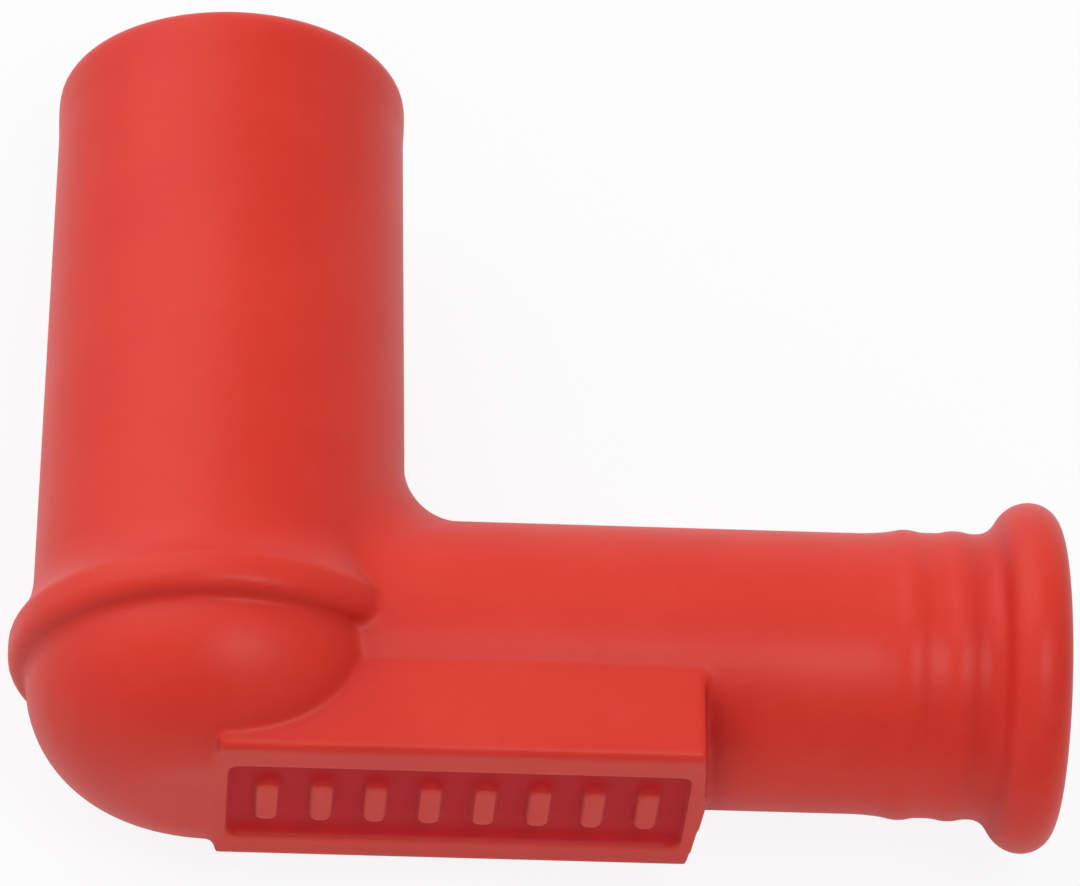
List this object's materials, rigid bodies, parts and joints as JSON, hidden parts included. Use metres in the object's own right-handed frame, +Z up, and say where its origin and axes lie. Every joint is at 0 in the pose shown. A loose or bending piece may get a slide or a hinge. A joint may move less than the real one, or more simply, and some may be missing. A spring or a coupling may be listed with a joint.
{
  "type": "spark plug cap",
  "caption": "Right-angle spark plug cap: L-shaped silicone boot with a ringed elbow, a beaded lead mouth and a side block, over a socket terminal, resistor and lead screw.",
  "frame": {"origin": "middle of the cap's footprint, on the surface that the ring touches when the cap lies on its back", "axes": "+X along the lead arm towards its mouth, +Y along the plug arm towards its mouth, +Z up, square to both arms"},
  "size_m": [0.0672, 0.0532, 0.0268],
  "materials": {
    "silicone_rubber": "satin moulded silicone, solid red",
    "brass": "turned, lightly dulled",
    "spring_steel": "drawn wire, bright",
    "tinned_steel": "pressed and tinned, satin",
    "ceramic": "unglazed fired ceramic, matte",
    "phenolic": "moulded phenolic, dark brown, matte"
  },
  "bodies": {
    "root": {"boot": "silicone_rubber", "plug_terminal": "brass", "terminal_clip": "spring_steel", "elbow_contact": "brass", "contact_spring": "spring_steel", "resistor_core": "ceramic", "resistor_cap_spring_side": "tinned_steel", "resistor_cap_lead_side": "tinned_steel", "insulating_tube": "phenolic", "lead_screw": "brass"}
  },
  "joints": []
}
